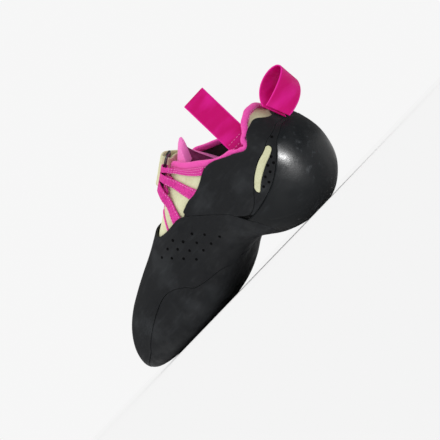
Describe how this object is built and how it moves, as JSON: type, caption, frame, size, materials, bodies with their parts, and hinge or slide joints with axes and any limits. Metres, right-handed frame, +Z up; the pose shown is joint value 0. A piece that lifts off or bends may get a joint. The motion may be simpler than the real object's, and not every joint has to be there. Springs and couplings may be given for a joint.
{
  "type": "climbing shoe",
  "caption": "Right-foot climbing shoe: downturned last, wrapped rubber outsole and toe patch, rubber heel cup, open collar, tongue, strap through a ring and ribbon pull loops.",
  "frame": {"origin": "middle of the flat spot under the heel, on the ground", "axes": "+Z up, toe along -X, heel along +X, big toe's side -Y, little toe's side +Y"},
  "size_m": [0.2345, 0.0834, 0.1031],
  "materials": {
    "black_rubber": "matt, faintly dusty",
    "gloss_rubber": "smooth, glossy, fine grain",
    "cream_microfibre": "brushed matt microfibre",
    "pink_microfibre": "textured microfibre and webbing",
    "pink_ribbon": "satin woven ribbon",
    "ring_steel": "dark satin wire",
    "insole_board": "pressed fibre board"
  },
  "bodies": {
    "root": {"outsole": "black_rubber", "toe_patch": "black_rubber", "arch_piece": "black_rubber", "side_band": "black_rubber", "heel_cup": "gloss_rubber", "heel_insert_medial": "black_rubber", "heel_insert_lateral": "black_rubber", "heel_slot_medial": "cream_microfibre", "heel_slot_lateral": "cream_microfibre", "upper": "cream_microfibre", "insole": "insole_board", "tongue": "pink_microfibre", "collar_binding": "pink_microfibre", "ring": "ring_steel", "finger_lower": "pink_microfibre", "finger_middle": "pink_microfibre", "finger_top": "pink_microfibre", "strap": "cream_microfibre", "pull_loop_medial": "pink_ribbon", "pull_loop_rear": "pink_ribbon"}
  },
  "joints": []
}
